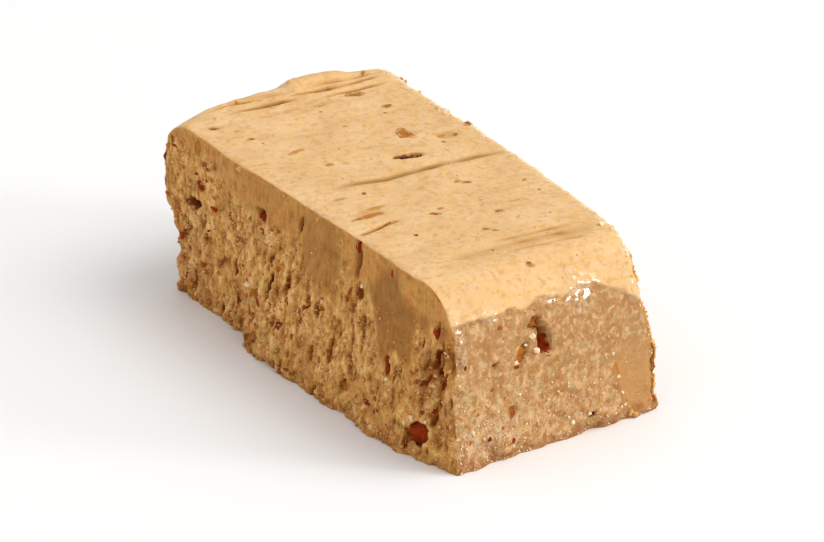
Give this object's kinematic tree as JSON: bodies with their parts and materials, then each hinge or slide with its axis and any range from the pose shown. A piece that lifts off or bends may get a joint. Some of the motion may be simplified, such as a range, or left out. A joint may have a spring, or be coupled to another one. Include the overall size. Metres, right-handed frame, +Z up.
{
  "type": "nougat slice",
  "caption": "Hand-cut slice of soft almond nougat with rounded moulded ends, a smooth top with shallow spatula marks and torn crumbly cut faces.",
  "frame": {"origin": "middle of the slice's box in plan, on the flat underside that it rests on", "axes": "+X along the slice from its far moulded end to its near moulded end, +Y from the shown knife cut to the hidden one, +Z up"},
  "size_m": [0.0644, 0.0296, 0.0192],
  "materials": {
    "nougat": "soft waxy almond paste, smeared satin on the top and ends, dry and granular on the cuts",
    "almond_skin": "thin brown to orange skin flakes pressed into the paste",
    "almond_crumb": "pale crushed almond and sugar grains, some wet with oil"
  },
  "bodies": {
    "root": {"slice": "nougat"}
  },
  "joints": []
}
